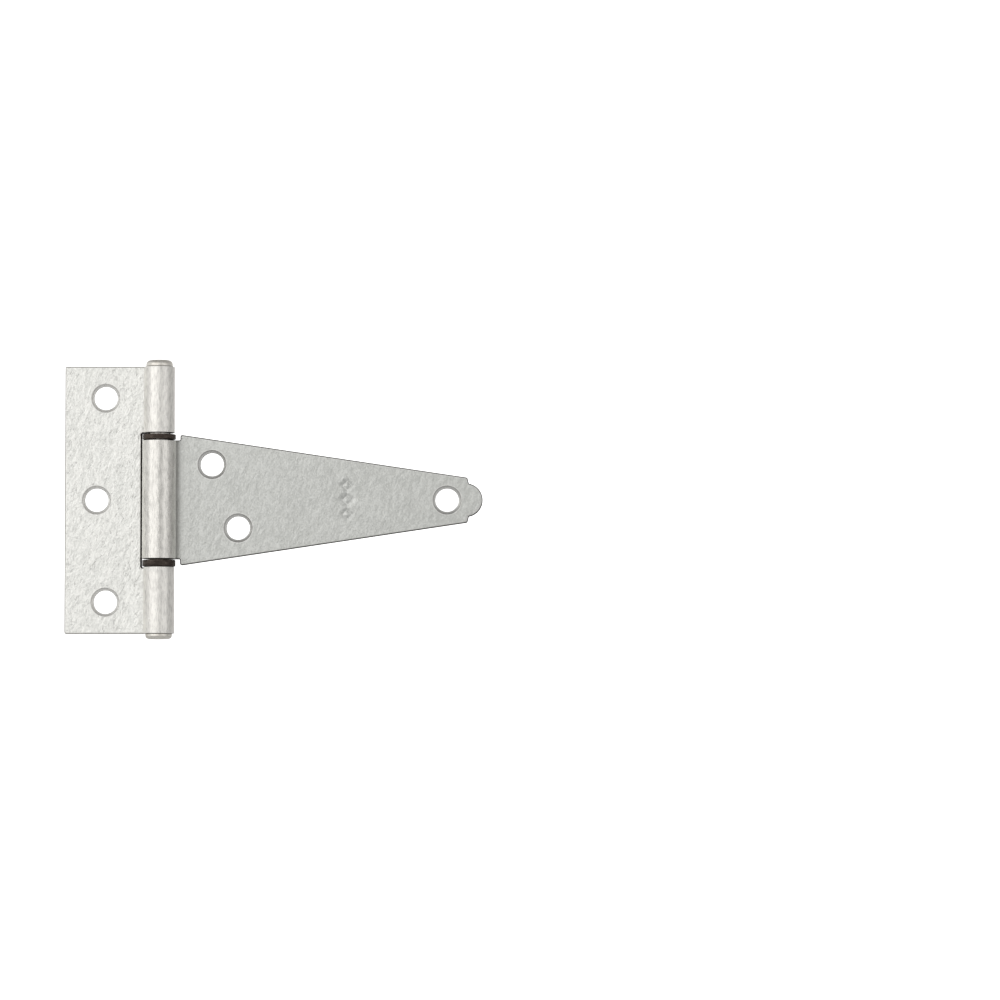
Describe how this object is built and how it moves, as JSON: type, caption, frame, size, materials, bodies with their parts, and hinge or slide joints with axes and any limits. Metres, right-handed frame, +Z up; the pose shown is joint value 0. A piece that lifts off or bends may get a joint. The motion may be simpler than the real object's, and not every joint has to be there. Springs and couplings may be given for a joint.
{
  "type": "t hinge",
  "caption": "Surface-mounted T hinge: rectangular leaf and tapered strap, both with screw holes, rolled round a tight pin.",
  "frame": {"origin": "on the plane of both leaves' backs, straight behind the pin's axis, at mid-height, where the strap's flat back starts", "axes": "+Z up along the pin, +X from the pin towards the strap's nose, +Y out of the backs into the surface it is screwed to, so the barrel is on the -Y side"},
  "size_m": [0.0987, 0.008, 0.0658],
  "materials": {
    "leaf_zinc": "mottled bright zinc plating",
    "strap_zinc": "satin grey zinc plating",
    "pin_steel": "bright zinc plating",
    "washer_dark": "dark brown-black phosphate"
  },
  "bodies": {
    "post_side": {"butt_leaf": "leaf_zinc", "hinge_pin": "pin_steel"},
    "gate_side": {"strap_leaf": "strap_zinc"},
    "upper_ring": {"upper_washer": "washer_dark"},
    "lower_ring": {"lower_washer": "washer_dark"}
  },
  "joints": [
    {"name": "strap_swing", "type": "hinge", "parent": "post_side", "child": "gate_side", "pos_m": [0, -0.004, 0], "axis": [0, 0, -1], "range_deg": [-91.5, 190]},
    {"name": "upper_washer_spin", "type": "hinge", "parent": "post_side", "child": "upper_ring", "pos_m": [0, -0.004, 0.01475], "axis": [0, 0, 1], "continuous": true},
    {"name": "lower_washer_spin", "type": "hinge", "parent": "post_side", "child": "lower_ring", "pos_m": [0, -0.004, -0.015], "axis": [0, 0, 1], "continuous": true}
  ]
}
